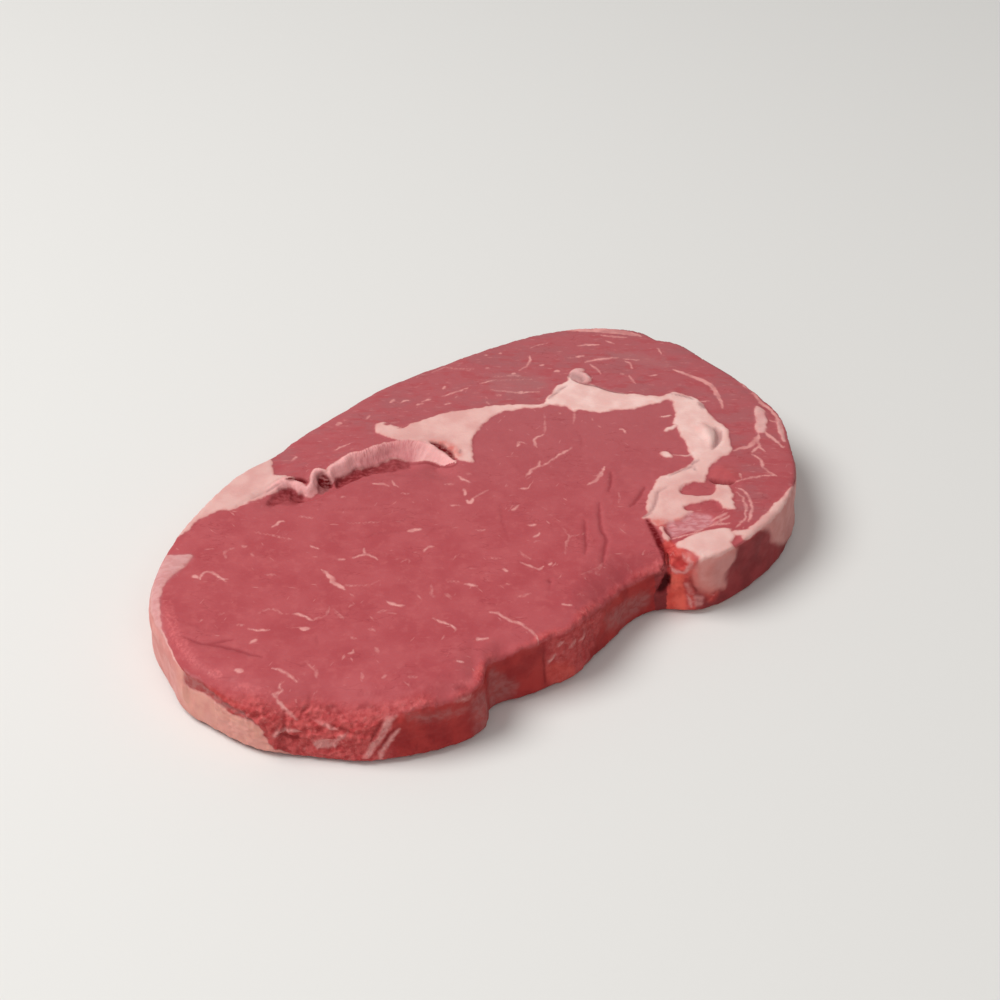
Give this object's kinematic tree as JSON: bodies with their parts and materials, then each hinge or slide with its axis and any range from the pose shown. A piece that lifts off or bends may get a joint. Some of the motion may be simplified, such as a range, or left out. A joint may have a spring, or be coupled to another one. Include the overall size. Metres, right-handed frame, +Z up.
{
  "type": "rib-eye beef steak",
  "caption": "Thick raw boneless beef steak: a large eye muscle under a cap muscle, parted by pale fat seams, with a small lobe at one end.",
  "frame": {"origin": "on the resting face, under the middle of the steak's bounding box", "axes": "+X along the steak's length towards the end where the fat seams meet, +Y towards the cap muscle, +Z up through the thickness"},
  "size_m": [0.197, 0.121, 0.0203],
  "materials": {
    "raw_beef": "moist, soft, low gloss"
  },
  "bodies": {
    "root": {"beef_steak": "raw_beef"}
  },
  "joints": []
}
